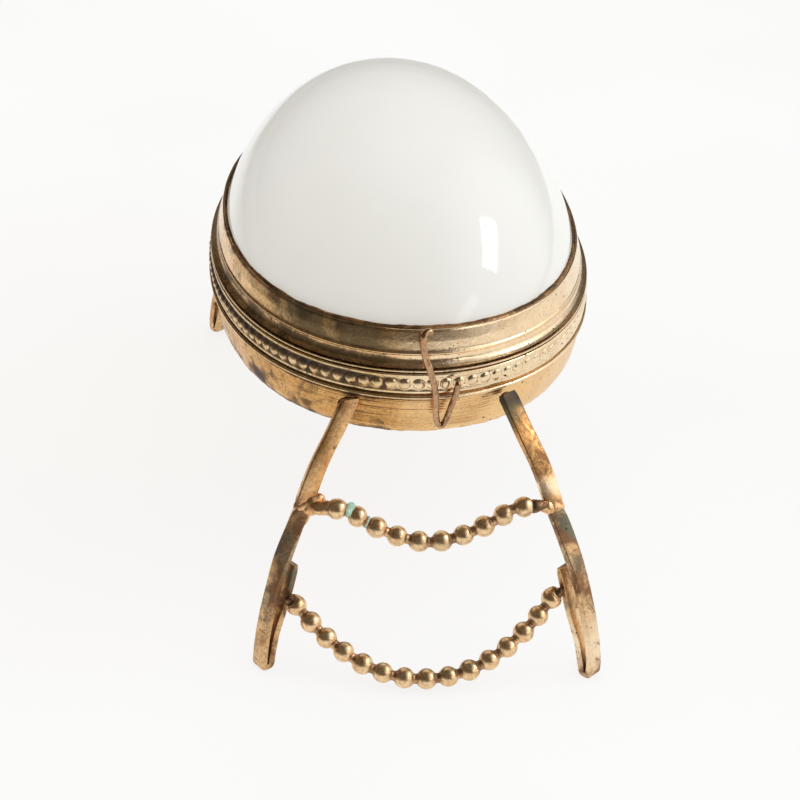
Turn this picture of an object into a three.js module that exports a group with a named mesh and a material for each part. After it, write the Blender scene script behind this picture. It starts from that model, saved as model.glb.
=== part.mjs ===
// Egg-shaped trinket box: a white porcelain egg lying on its side, split level, with a hinged
// lid, gilt-brass collars, four strip scroll legs and beaded swags between the legs.
// Millimetres, +Z up. The origin is on the table under the middle of the egg, the blunt end
// and the catch face -Y, and the hinge is at +Y.
import * as THREE from 'three';

// ---- driving dimensions -------------------------------------------------------------------
const EGG_HALF_LENGTH = 50;
const EGG_HALF_WIDTH = 32.1;
const EGG_BLUNTNESS = 0.05;     // how much fuller the front end is than the back
const EGG_FULLNESS = 0.06;      // how much fuller both ends are than an ellipse
const EGG_RISE = 1.05;          // height of a cross-section over its width
const PARTING = 51;             // height of the line where lid and base meet
const EGG_AXIS = PARTING - 3;   // height of the egg's long axis
const CLEARANCE = 0.3;          // gap kept between pieces that touch
const AROUND = 44;              // steps round the egg

const SHELL_WALL = 2.2;
const BOWL_DEPTH = 12;          // how far the dish hangs below the base collar
const BASE_COLLAR_BOTTOM = -11.85;

// Flat brass strip of the legs: width and thickness. The scroll thins towards its foot.
const BAR_STOCK = [3.3, 1.4];
const SCROLL_STOCK = [3.0, 1.5];
const SCROLL_END_STOCK = [2.8, 1.25];
const SCROLL_TAPER_SHARE = 0.4;  // the part of the scroll's length over which it thins
const SOLDER_GAP = 0.12;         // left between a swag's end and the leg it is fixed to
const SCROLL_TWIST_SHARE = 0.25; // the part of its length over which it twists to its plane
const KNEE = new THREE.Vector2(10.15, -21.85);   // outward reach and level where bar meets scroll

const BEAD_RADIUS = 1.72;
const BEAD_NECK_RADIUS = 0.72;
const WIRE_RADIUS = 0.58;       // catch wire

const HINGE_Y = 54;
const KNUCKLE_RADIUS = 1.5;
const PIN_RADIUS = 0.6;
const PIN_BORE_RADIUS = 0.75;
const LID_KNUCKLE_HALF = 2.5;
const BASE_KNUCKLE_LENGTH = 3.4;

// ---- materials ----------------------------------------------------------------------------
const finish = (color, roughness, metalness) =>
  new THREE.MeshStandardMaterial({ color, roughness, metalness });
const porcelain = () => finish(0xeeeee8, 0.12, 0);
const giltBrass = () => finish(0xc09060, 0.35, 1);
const agedBrass = () => finish(0x8a7048, 0.45, 1);
const copper = () => finish(0xb87858, 0.3, 1);

const box = new THREE.Group();
const addPiece = (name, geometry, material) => {
  const piece = new THREE.Mesh(geometry, material);
  piece.name = name;
  box.add(piece);
  return piece;
};

// ---- the egg ------------------------------------------------------------------------------
// Radius of the egg's round cross-section at a place along its length, for an egg made
// smaller all round by `inset`.
function crossSectionRadius(y, inset) {
  const along = -y / (EGG_HALF_LENGTH - inset);
  if (Math.abs(along) >= 1) return 0;
  const shape = 1 + EGG_BLUNTNESS * along + EGG_FULLNESS * along * along;
  return (EGG_HALF_WIDTH - inset) * Math.sqrt(1 - along * along) * shape;
}

// The point of the egg's level section at `height`, in the direction of `angle`
// (0 is the front, a quarter turn is +X).
function sectionPoint(angle, height = EGG_AXIS, inset = 0) {
  const direction = new THREE.Vector2(
    EGG_HALF_WIDTH * Math.sin(angle), -EGG_HALF_LENGTH * Math.cos(angle));
  const rise = (height - EGG_AXIS) / EGG_RISE;
  let near = 0;
  let far = 1.3;
  for (let step = 0; step < 40; step += 1) {
    const middle = (near + far) / 2;
    const radius = crossSectionRadius(middle * direction.y, inset);
    const isInside = Math.hypot(middle * direction.x, rise) < radius;
    if (isInside) near = middle; else far = middle;
  }
  return direction.multiplyScalar(near);
}

function outwardNormal(angle) {
  const small = 0.01;
  const along = sectionPoint(angle + small).sub(sectionPoint(angle - small)).normalize();
  return new THREE.Vector2(along.y, -along.x);
}

// A point beside the egg's widest outline: moved out by `offset`, or shrunk by `scale`.
function besideOutline(angle, offset, scale = 1) {
  return sectionPoint(angle).multiplyScalar(scale).addScaledVector(outwardNormal(angle), offset);
}

const stepAngles = Array.from({ length: AROUND }, (_, step) => (2 * Math.PI * step) / AROUND);
const toRing = (height, pointAt) =>
  stepAngles.map((angle) => {
    const point = pointAt(angle);
    return new THREE.Vector3(point.x, point.y, height);
  });
const eggRing = (height, inset) => toRing(height, (angle) => sectionPoint(angle, height, inset));
const collarRing = (offset, level, scale = 1) =>
  toRing(PARTING + level, (angle) => besideOutline(angle, offset, scale));
const pole = (height) => [new THREE.Vector3(0, 0, height)];

// ---- solids from rings --------------------------------------------------------------------
// Joins rings of points into one closed body. A ring of one point is a tip. With `wrap` the
// last ring joins the first, and otherwise each open end is closed by a flat fan.
function skinRings(rings, wrap) {
  const positions = [];
  const triangles = [];
  const starts = rings.map((ring) => {
    const start = positions.length / 3;
    ring.forEach((point) => positions.push(point.x, point.y, point.z));
    return start;
  });
  const joinPair = (first, second) => {
    const count = Math.max(rings[first].length, rings[second].length);
    const vertex = (ring, index) => starts[ring] + (index % rings[ring].length);
    for (let index = 0; index < count; index += 1) {
      const corner = [vertex(first, index), vertex(first, index + 1)];
      const opposite = [vertex(second, index), vertex(second, index + 1)];
      if (corner[0] !== corner[1]) triangles.push([corner[0], corner[1], opposite[1]]);
      if (opposite[0] !== opposite[1]) triangles.push([corner[0], opposite[1], opposite[0]]);
    }
  };
  for (let ring = 0; ring + 1 < rings.length; ring += 1) joinPair(ring, ring + 1);
  if (wrap) joinPair(rings.length - 1, 0);
  const closeEnd = (ring, reversed) => {
    for (let index = 1; index + 1 < rings[ring].length; index += 1) {
      const fan = [starts[ring], starts[ring] + index, starts[ring] + index + 1];
      triangles.push(reversed ? fan.reverse() : fan);
    }
  };
  if (!wrap) {
    closeEnd(0, true);
    closeEnd(rings.length - 1, false);
  }
  const at = (index) => new THREE.Vector3().fromArray(positions, 3 * index);
  const volume = triangles.reduce(
    (sum, [a, b, c]) => sum + at(a).dot(at(b).cross(at(c))), 0);
  const faces = volume < 0 ? triangles.map(([a, b, c]) => [a, c, b]) : triangles;
  const geometry = new THREE.BufferGeometry();
  geometry.setAttribute('position', new THREE.Float32BufferAttribute(positions, 3));
  geometry.setIndex(faces.flat());
  geometry.computeVertexNormals();
  return geometry;
}

// A ring-shaped solid from its cross-section: pairs of outward offset and level.
const collarSolid = (section) =>
  skinRings(section.map(([offset, level]) => collarRing(offset, level)), true);

const { lerp } = THREE.MathUtils;

// A strip of flat stock: its middle line, the level direction that its width lies along at each
// share of its length, and its width and thickness at each end.
function flatStrip(middleLine, widthAt, startStock, endStock, floorHeight = -Infinity) {
  const last = middleLine.length - 1;
  const rings = middleLine.map((point, index) => {
    const before = middleLine[Math.max(0, index - 1)];
    const after = middleLine[Math.min(last, index + 1)];
    const along = after.clone().sub(before).normalize();
    const widthDirection = widthAt(index / last);
    const thick = along.clone().cross(widthDirection).normalize();
    const taper = Math.min(1, (index / last) / SCROLL_TAPER_SHARE);
    const [width, thickness] = startStock.map((size, which) =>
      lerp(size, endStock[which], taper));
    return [[1, 1], [-1, 1], [-1, -1], [1, -1]].map(([w, t]) => {
      const corner = point.clone()
        .addScaledVector(widthDirection, (w * width) / 2)
        .addScaledVector(thick, (t * thickness) / 2);
      corner.z = Math.max(corner.z, floorHeight);
      return corner;
    });
  });
  return skinRings(rings, false);
}

// ---- porcelain ----------------------------------------------------------------------------
const lidShellBottom = PARTING + 0.7;
function lidShell() {
  const quarterSteps = 8;
  const dome = (inset) => {
    const top = EGG_AXIS + EGG_RISE * (crossSectionRadius(0, inset));
    const startLift = Math.asin((lidShellBottom - EGG_AXIS) / (top - EGG_AXIS));
    const rings = [];
    for (let step = 0; step < quarterSteps; step += 1) {
      const lift = startLift + (Math.PI / 2 - startLift) * (step / quarterSteps);
      rings.push(eggRing(EGG_AXIS + (top - EGG_AXIS) * Math.sin(lift), inset));
    }
    rings.push(pole(top));
    return rings;
  };
  return skinRings([...dome(0).reverse(), ...dome(SHELL_WALL)], false);
}
addPiece('lid_shell', lidShell(), porcelain());

const dishRim = -0.6;
const dishWallScale = 0.955;
function baseShell() {
  const bowlSteps = 5;
  const bowl = (scale, topLevel, depth) => {
    const rings = [];
    for (let step = 0; step < bowlSteps; step += 1) {
      const ratio = Math.cos((Math.PI / 2) * (step / bowlSteps));
      rings.push(collarRing(0, topLevel - depth * (1 - ratio * ratio), scale * ratio));
    }
    rings.push(pole(PARTING + topLevel - depth));
    return rings;
  };
  const outer = bowl(dishWallScale, BASE_COLLAR_BOTTOM + 0.2, BOWL_DEPTH);
  const inner = bowl(dishWallScale - SHELL_WALL / EGG_HALF_WIDTH,
    BASE_COLLAR_BOTTOM + 1.6, BOWL_DEPTH - 0.8);
  const rimOuter = collarRing(-0.5, dishRim);
  const rimInner = collarRing(-0.5 - SHELL_WALL, dishRim);
  return skinRings([...outer.reverse(), rimOuter, rimInner, ...inner], false);
}
addPiece('base_shell', baseShell(), porcelain());

// ---- lid mounts ---------------------------------------------------------------------------
addPiece('lid_collar', collarSolid([
  [-0.6, 6.85], [-0.15, 5.0], [0.12, 3.3],            // plain face, leaning out as it falls
  [0.45, 3.1], [0.5, 2.75], [0.32, 2.45],             // bright ridge
  [0.3, 1.9], [0.5, 1.35], [0.9, 1.0], [1.4, 0.85],   // cove
  [0.3, 0.8], [0.02, 2.2], [-0.4, 4.6], [-1.02, 6.85],
]), giltBrass());
addPiece('lid_rim', collarSolid([[0.3, 0.5], [1.6, 0.5], [1.6, 0.15], [0.3, 0.15]]), giltBrass());

// ---- base mounts --------------------------------------------------------------------------
addPiece('gallery_band', collarSolid([
  [1.45, -0.15], [1.62, -0.45], [1.62, -0.75],
  [1.98, -1.4], [2.05, -2.05], [1.98, -2.7],          // swell that carries the stamped beads
  [1.62, -3.35], [1.62, -3.85], [0.95, -3.85], [0.95, -0.15],
]), giltBrass());
addPiece('rim_wire', collarSolid([
  [1.3, -4.15], [1.75, -4.15], [2.0, -4.45], [1.85, -4.8], [1.3, -4.8],
]), giltBrass());
addPiece('base_collar', collarSolid([
  [0.05, -0.15], [0.65, -0.15], [0.65, -5.1], [1.25, -5.1],
  [1.2, -5.6], [0.9, -8.0], [0.35, -10.6], [-0.3, BASE_COLLAR_BOTTOM],
  [-0.9, BASE_COLLAR_BOTTOM], [0.0, -9.6],
]), agedBrass());
addPiece('inner_lip', collarSolid([[-4.1, 2.1], [-3.5, 2.1], [-3.5, -2.2], [-4.1, -2.2]]),
  giltBrass());

const circlePoints = (radius, count) =>
  Array.from({ length: count }, (_, step) => {
    const angle = (2 * Math.PI * step) / count;
    return new THREE.Vector2(radius * Math.cos(angle), radius * Math.sin(angle));
  });

// ---- hinge --------------------------------------------------------------------------------
// Outlines are drawn in a plane across the pin: `inward` runs from the pin towards the box.
function hingeLeaf(leafPoints, arcStart, arcEnd, length) {
  const outline = new THREE.Shape();
  const turn = arcEnd - arcStart;
  const arcSteps = 14;
  for (let step = 0; step <= arcSteps; step += 1) {
    const angle = arcStart + turn * (step / arcSteps);
    const point = [KNUCKLE_RADIUS * Math.cos(angle), KNUCKLE_RADIUS * Math.sin(angle)];
    if (step === 0) outline.moveTo(...point); else outline.lineTo(...point);
  }
  leafPoints.forEach((point) => outline.lineTo(...point));
  outline.holes.push(new THREE.Path(circlePoints(PIN_BORE_RADIUS, 16)));
  const geometry = new THREE.ExtrudeGeometry(outline,
    { depth: length, bevelEnabled: false, curveSegments: 8 });
  // the drawing's inward axis to -Y, its up axis to +Z, and the extrusion to +X
  const turnUpright = new THREE.Matrix4().makeBasis(
    new THREE.Vector3(0, -1, 0), new THREE.Vector3(0, 0, 1), new THREE.Vector3(-1, 0, 0));
  geometry.applyMatrix4(turnUpright);
  return geometry;
}
const degrees = THREE.MathUtils.degToRad;
const lidLeafPoints = [[1.0, 1.75], [2.1, 3.0], [2.75, 4.2], [3.35, 6.6], [4.0, 6.6],
  [3.4, 4.2], [3.0, 3.0], [2.8, 2.2], [1.9, 1.25]];
const baseLeafPoints = [[1.6, -0.95], [1.6, -5.2], [2.5, -6.0], [3.3, -9.0], [2.6, -9.0],
  [1.75, -6.0], [0.9, -5.0]];
const lidLeaf = addPiece('lid_hinge_leaf',
  hingeLeaf(lidLeafPoints, degrees(15), degrees(-270), 2 * LID_KNUCKLE_HALF), giltBrass());
lidLeaf.position.set(LID_KNUCKLE_HALF, HINGE_Y, PARTING);
const baseKnuckleStart = LID_KNUCKLE_HALF + CLEARANCE;
[['left', -baseKnuckleStart], ['right', baseKnuckleStart + BASE_KNUCKLE_LENGTH]].forEach(
  ([side, x]) => {
    const leaf = addPiece(`base_hinge_leaf_${side}`,
      hingeLeaf(baseLeafPoints, degrees(-60), degrees(-390), BASE_KNUCKLE_LENGTH),
      giltBrass());
    leaf.position.set(x, HINGE_Y, PARTING);
  });

function hingePin() {
  const half = baseKnuckleStart + BASE_KNUCKLE_LENGTH + CLEARANCE;
  const head = 0.8;
  const profile = [[0, -half - head], [1.05, -half - head], [1.05, -half], [PIN_RADIUS, -half],
    [PIN_RADIUS, half], [1.05, half], [1.05, half + head], [0, half + head]];
  return new THREE.LatheGeometry(profile.map(([r, along]) => new THREE.Vector2(r, along)), 14);
}
const pin = addPiece('hinge_pin', hingePin(), agedBrass());
pin.position.set(0, HINGE_Y, PARTING);
pin.rotation.z = Math.PI / 2;

// ---- legs ---------------------------------------------------------------------------------
// Each leg lies in an upright plane that leaves the collar at `yaw` to the box's long axis.
// `reach` stretches it outward: the stand has been bent a little in use, so no two front
// legs stand quite alike. The flat of the strip twists from `topYaw` at the collar through
// `kneeYaw` to the leg's own plane.
const legs = [
  { name: 'front_right', side: 1, end: -1, attachX: 12.5, yaw: 41, reach: 1.16,
    topYaw: 36, kneeYaw: 8 },
  { name: 'front_left', side: -1, end: -1, attachX: 10.95, yaw: 55, reach: 0.95,
    topYaw: -15, kneeYaw: -10 },
  { name: 'rear_right', side: 1, end: 1, attachX: 14.5, yaw: 42, reach: 1.18,
    topYaw: 36, kneeYaw: 24 },
  { name: 'rear_left', side: -1, end: 1, attachX: 14.5, yaw: 42, reach: 1.18,
    topYaw: 36, kneeYaw: 24 },
];
const ATTACH_OFFSET = 2.6;

// The angle round the egg at which its outline is `x` from the middle, front or back.
function angleAtWidth(x, end) {
  let low = 0;
  let high = Math.PI / 2;
  for (let step = 0; step < 30; step += 1) {
    const middle = (low + high) / 2;
    const angle = end < 0 ? middle : Math.PI - middle;
    if (sectionPoint(angle).x < x) low = middle; else high = middle;
  }
  return end < 0 ? low : Math.PI - low;
}

// Turns a leg's own outward reach and level into a point in the box's frame.
function legPoint(leg, reach, level) {
  const start = besideOutline(angleAtWidth(leg.attachX, leg.end), ATTACH_OFFSET);
  const yaw = degrees(leg.yaw);
  const out = reach * leg.reach;
  return new THREE.Vector3(
    leg.side * (start.x + out * Math.sin(yaw)),
    start.y + leg.end * out * Math.cos(yaw),
    PARTING + level);
}
const widthAcross = (leg, yaw) =>
  new THREE.Vector3(leg.side * Math.cos(degrees(yaw)), -leg.end * Math.sin(degrees(yaw)), 0);
const smoothLine = (leg, points, steps) =>
  new THREE.CatmullRomCurve3(points.map(([reach, level]) => legPoint(leg, reach, level)))
    .getSpacedPoints(steps);

const scrollFront = [[10.3, -22.35], [12.85, -27.0], [15.4, -32.3], [17.5, -38.4],
  [19.0, -44.2], [19.7, -49.3]];
const scrollReturn = [[18.05, -49.4], [16.9, -44.6], [15.1, -40.0], [13.75, -36.0],
  [12.75, -32.6]];
const footTurn = { reach: 18.9, level: -49.9, radius: 0.8 };

function scrollLine(leg) {
  const turn = [];
  for (let angle = 0; angle >= -180; angle -= 30) {
    const across = footTurn.reach + (footTurn.radius / leg.reach) * Math.cos(degrees(angle));
    turn.push(legPoint(leg, across, footTurn.level + footTurn.radius * Math.sin(degrees(angle))));
  }
  return [...smoothLine(leg, scrollFront, 11).slice(0, -1), ...turn,
    ...smoothLine(leg, scrollReturn, 7).slice(1)];
}
legs.forEach((leg) => {
  const barLine = smoothLine(leg, [[0.15, -5.3], [3.4, -10.3], [7.2, -15.8], [KNEE.x, KNEE.y]], 8);
  const barWidthAt = (share) => widthAcross(leg, lerp(leg.topYaw, leg.kneeYaw, share));
  const scrollWidthAt = (share) =>
    widthAcross(leg, lerp(leg.kneeYaw, leg.yaw, Math.min(1, share / SCROLL_TWIST_SHARE)));
  addPiece(`leg_bar_${leg.name}`, flatStrip(barLine, barWidthAt, BAR_STOCK, BAR_STOCK),
    giltBrass());
  addPiece(`leg_scroll_${leg.name}`, flatStrip(scrollLine(leg), scrollWidthAt,
    SCROLL_STOCK, SCROLL_END_STOCK, 0), agedBrass());
});

// ---- beaded swags -------------------------------------------------------------------------
// A swag is one stiff rod of turned beads, bent to hang between two legs.
function beadedRod(curve, beadCount, stub) {
  const length = curve.getLength();
  const pitch = (length - 2 * stub) / (beadCount - 1);
  const neckTurn = Math.acos(BEAD_NECK_RADIUS / BEAD_RADIUS);
  const stations = [[0, BEAD_NECK_RADIUS]];
  for (let bead = 0; bead < beadCount; bead += 1) {
    [-1, -0.36, 0.36, 1].forEach((part) => {
      const turn = part * neckTurn;
      const centre = stub + bead * pitch;
      stations.push([centre + BEAD_RADIUS * Math.sin(turn), BEAD_RADIUS * Math.cos(turn)]);
    });
  }
  stations.push([length, BEAD_NECK_RADIUS]);
  const sides = 8;
  const upright = new THREE.Vector3(0, 1, 0);
  const rings = stations.map(([distance, radius]) => {
    const point = curve.getPointAt(distance / length);
    const along = curve.getTangentAt(distance / length);
    const across = along.clone().cross(upright).normalize();
    const other = across.clone().cross(along).normalize();
    return Array.from({ length: sides }, (_, side) => {
      const turn = (2 * Math.PI * side) / sides;
      return point.clone()
        .addScaledVector(across, radius * Math.cos(turn))
        .addScaledVector(other, radius * Math.sin(turn));
    });
  });
  return skinRings(rings, false);
}

// From a fixing on the right leg to one on its partner. `sag` is measured along a direction
// that leans outward from straight down by `lean`.
function swag(end, { rightFixing, leftFixing, beadCount, sag, curvePower, lean, stub, lead }) {
  const [right, left] = legs.filter((leg) => leg.end === end);
  const fixing = (leg, [reach, level]) => legPoint(leg, reach, level)
    .addScaledVector(widthAcross(leg, leg.yaw), -(SCROLL_STOCK[0] / 2 + BEAD_NECK_RADIUS + SOLDER_GAP));
  const start = fixing(right, rightFixing);
  const finishPoint = fixing(left, leftFixing);
  const first = start.clone().add(new THREE.Vector3(-lead.x, end * lead.y, lead.z));
  const last = finishPoint.clone().add(new THREE.Vector3(lead.x, end * lead.y, lead.z));
  const points = [start];
  const steps = 12;
  for (let step = 0; step <= steps; step += 1) {
    const across = step / steps;
    const hang = sag * (1 - Math.abs(2 * across - 1) ** curvePower);
    const point = first.clone().lerp(last, across);
    point.y += end * hang * Math.sin(degrees(lean));
    point.z -= hang * Math.cos(degrees(lean));
    points.push(point);
  }
  points.push(finishPoint);
  return beadedRod(new THREE.CatmullRomCurve3(points), beadCount, stub);
}
const upperSwag = { rightFixing: [9.65, -21.15], leftFixing: [9.1, -22.0], beadCount: 10,
  sag: 5.95, curvePower: 1.7, lean: 8, stub: 3.2, lead: new THREE.Vector3(4.8, 0.5, -0.25) };
const lowerSwag = { rightFixing: [13.75, -36.2], leftFixing: [15.05, -37.9], beadCount: 15,
  sag: 13.0, curvePower: 2.15, lean: 32.5, stub: 1.6, lead: new THREE.Vector3(0.95, 0.05, -0.9) };
[['front', -1], ['rear', 1]].forEach(([name, end]) => {
  addPiece(`upper_swag_${name}`, swag(end, upperSwag), agedBrass());
  addPiece(`lower_swag_${name}`, swag(end, lowerSwag), agedBrass());
});

// ---- catch --------------------------------------------------------------------------------
// A bent round wire held at its right end on the base band. Its long arm stands in front of
// the lid collar and springs back when it is pulled forward.
function catchWire() {
  const route = [[-0.8, -52.6, 7.8], [-0.5, -52.7, 4.0], [0.4, -52.9, 1.4], [1.2, -53.0, -1.4],
    [1.6, -53.0, -4.2], [1.75, -53.0, -7.4], [2.1, -53.0, -8.7], [2.8, -53.0, -8.9],
    [3.35, -53.0, -8.0], [4.0, -53.0, -5.9], [4.7, -53.0, -3.5], [5.2, -53.0, -0.9]];
  const path = new THREE.CatmullRomCurve3(
    route.map(([x, y, level]) => new THREE.Vector3(x, y, PARTING + level)));
  return new THREE.ExtrudeGeometry(new THREE.Shape(circlePoints(WIRE_RADIUS, 8)),
    { steps: 30, extrudePath: path, bevelEnabled: false });
}
addPiece('catch_wire', catchWire(), copper());

export default box;
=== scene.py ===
# Egg-shaped porcelain trinket box in gilt-brass mounts, on a pale floor.
# Lengths in the geometry are millimetres and become metres when a mesh is made.
import math

import bpy
import numpy as np
from mathutils import Matrix, Vector


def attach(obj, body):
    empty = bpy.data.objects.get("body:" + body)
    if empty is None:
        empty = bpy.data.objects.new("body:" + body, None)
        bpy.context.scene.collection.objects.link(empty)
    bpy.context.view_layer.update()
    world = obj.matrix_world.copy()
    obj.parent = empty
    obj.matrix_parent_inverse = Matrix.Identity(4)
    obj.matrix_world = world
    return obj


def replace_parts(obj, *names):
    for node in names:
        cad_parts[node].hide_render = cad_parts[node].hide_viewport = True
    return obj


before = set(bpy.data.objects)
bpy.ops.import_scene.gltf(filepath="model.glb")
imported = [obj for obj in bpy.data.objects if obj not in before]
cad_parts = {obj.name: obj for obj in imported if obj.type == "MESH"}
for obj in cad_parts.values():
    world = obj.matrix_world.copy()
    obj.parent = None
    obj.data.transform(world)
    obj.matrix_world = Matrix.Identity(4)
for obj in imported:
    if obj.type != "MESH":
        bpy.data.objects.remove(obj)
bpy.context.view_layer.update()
MM = 0.001
rng = np.random.default_rng(17)
scene = bpy.context.scene

# ---- camera ----
CAMERA_DISTANCE = 400.0
CAMERA_ELEVATION = math.radians(29.33)
CAMERA_AZIMUTH = math.radians(-6.73)
CAMERA_ROLL = math.radians(2.09)
CAMERA_SIDE = 0.85
CAMERA_DROP = -29.59
CAMERA_LENS = 98.31
PARTING = 51.0


def place_object(obj, right, up, back, place):
    """Adds a camera or a light to the scene, turned to three directions."""
    matrix = np.eye(4)
    matrix[:3, :3] = np.array([right, up, back]).T
    matrix[:3, 3] = place
    obj.matrix_world = Matrix(matrix.tolist())
    scene.collection.objects.link(obj)


def make_camera():
    sa, ca = math.sin(CAMERA_AZIMUTH), math.cos(CAMERA_AZIMUTH)
    se, ce = math.sin(CAMERA_ELEVATION), math.cos(CAMERA_ELEVATION)
    back = Vector((sa * ce, -ca * ce, se))
    level_right = Vector((ca, sa, 0.0))
    level_up = back.cross(level_right)
    right = level_right * math.cos(CAMERA_ROLL) + level_up * math.sin(CAMERA_ROLL)
    up = back.cross(right)
    data = bpy.data.cameras.new("camera")
    data.sensor_width = 36.0
    data.lens = CAMERA_LENS
    data.clip_start = 0.01
    camera = bpy.data.objects.new("camera", data)
    place = back * CAMERA_DISTANCE + right * CAMERA_SIDE + up * CAMERA_DROP
    place += Vector((0.0, 0.0, PARTING))
    place_object(camera, right, up, back, np.array(place) * MM)
    scene.camera = camera


make_camera()


def unit(vector):
    return vector / np.linalg.norm(vector)


def lengths_along(points):
    """The length of a line of points, from its start to each of them."""
    return np.concatenate([[0], np.cumsum(np.linalg.norm(np.diff(points, axis=0), axis=1))])


# ---- the egg's outline ----
EGG_HALF_LENGTH = 50.0
EGG_HALF_WIDTH = 32.1
EGG_BLUNTNESS = 0.05
EGG_FULLNESS = 0.06
EGG_RISE = 1.05
EGG_AXIS = PARTING - 3.0


def cross_section_radius(y, inset):
    along = np.clip(-y / (EGG_HALF_LENGTH - inset), -1.0, 1.0)
    shape = 1 + EGG_BLUNTNESS * along + EGG_FULLNESS * along ** 2
    return (EGG_HALF_WIDTH - inset) * np.sqrt(1 - along ** 2) * shape


def section_point(angle, height, inset=0.0):
    """Points of the egg's level section at a height, in the directions of the angles."""
    dx, dy = EGG_HALF_WIDTH * np.sin(angle), -EGG_HALF_LENGTH * np.cos(angle)
    rise = (height - EGG_AXIS) / EGG_RISE
    inner, outer = np.zeros_like(angle), np.full_like(angle, 1.3)
    for _ in range(44):
        middle = (inner + outer) / 2
        inside = np.hypot(middle * dx, rise) < cross_section_radius(middle * dy, inset)
        inside &= np.abs(middle * dy) < EGG_HALF_LENGTH - inset
        inner, outer = np.where(inside, middle, inner), np.where(inside, outer, middle)
    return np.stack([inner * dx, inner * dy], -1)


def even_outline(count, offset):
    """Angles that share the outline, moved out by an offset, into equal lengths."""
    angle = np.linspace(0, 2 * np.pi, 4001)
    points = outline(angle) + outline_normal(angle) * offset
    length = lengths_along(points)
    return np.interp(np.arange(count) / count * length[-1], length, angle)


def outline(angle):
    return section_point(angle, EGG_AXIS)


def outline_normal(angle):
    small = 0.002
    along = outline(angle + small) - outline(angle - small)
    along /= np.linalg.norm(along, axis=-1, keepdims=True)
    return np.stack([along[:, 1], -along[:, 0]], -1)


# ---- smooth noise for hand-made unevenness ----
class Waves:
    """A sum of soft waves through space: cheap, smooth and the same on every run."""

    def __init__(self, scale, count=14):
        direction = rng.normal(size=(count, 3))
        direction /= np.linalg.norm(direction, axis=1, keepdims=True)
        self.wave = direction * (2 * np.pi / scale) * rng.uniform(0.6, 1.7, (count, 1))
        self.phase = rng.uniform(0, 2 * np.pi, count)

    def __call__(self, points):
        return np.sin(points @ self.wave.T + self.phase).mean(-1) * 2.2


slow_waves = Waves(24.0)
mid_waves = Waves(7.0)
fast_waves = Waves(1.9, 20)

# ---- meshes ----
def make_object(name, verts, faces, body, material, sharp=40.0, attributes=None):
    mesh = bpy.data.meshes.new(name)
    mesh.from_pydata((np.asarray(verts) * MM).tolist(), [], [list(map(int, f)) for f in faces])
    mesh.update()
    mesh.polygons.foreach_set("use_smooth", np.ones(len(mesh.polygons), bool))
    if sharp:
        mesh.set_sharp_from_angle(angle=math.radians(sharp))
    for key, values in (attributes or {}).items():
        layer = mesh.attributes.new(key, "FLOAT", "POINT")
        layer.data.foreach_set("value", np.asarray(values, np.float32))
    obj = bpy.data.objects.new(name, mesh)
    scene.collection.objects.link(obj)
    mesh.materials.append(material)
    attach(obj, body)
    return obj


def grid_faces(rows, columns, wrap_rows=False, wrap_columns=True):
    row = np.arange(rows if wrap_rows else rows - 1)
    column = np.arange(columns if wrap_columns else columns - 1)
    row, column = np.meshgrid(row, column, indexing="ij")
    below, beside = (row + 1) % rows, (column + 1) % columns
    corners = (row, column), (row, beside), (below, beside), (below, column)
    return np.stack([r * columns + c for r, c in corners], -1).reshape(-1, 4)


def outward(verts, faces):
    """Turns the faces round if the closed body they make is inside out."""
    v = np.asarray(verts)
    volume = 0.0
    for face in faces:
        a = v[face[0]]
        for second, third in zip(face[1:-1], face[2:]):
            volume += np.dot(a, np.cross(v[second], v[third]))
    return [list(face)[::-1] for face in faces] if volume < 0 else [list(face) for face in faces]


def round_section(points, radius, steps=3):
    """A closed section with every corner cut back by a radius and bent round."""
    points = np.asarray(points, float)
    result = []
    for index, corner in enumerate(points):
        before, after = points[index - 1], points[(index + 1) % len(points)]
        reach_in = min(radius, np.linalg.norm(before - corner) * 0.45)
        reach_out = min(radius, np.linalg.norm(after - corner) * 0.45)
        start = corner + unit(before - corner) * reach_in
        end = corner + unit(after - corner) * reach_out
        for t in np.linspace(0, 1, steps):
            result.append((1 - t) ** 2 * start + 2 * t * (1 - t) * corner + t ** 2 * end)
    return np.array(result)


def fill_section(points, longest):
    """Splits the long sides of a closed section."""
    result = []
    for first, second in zip(points, np.roll(points, -1, axis=0)):
        parts = max(1, int(np.ceil(np.linalg.norm(second - first) / longest)))
        result.extend(first + (second - first) * k / parts for k in range(parts))
    return np.array(result)


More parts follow.
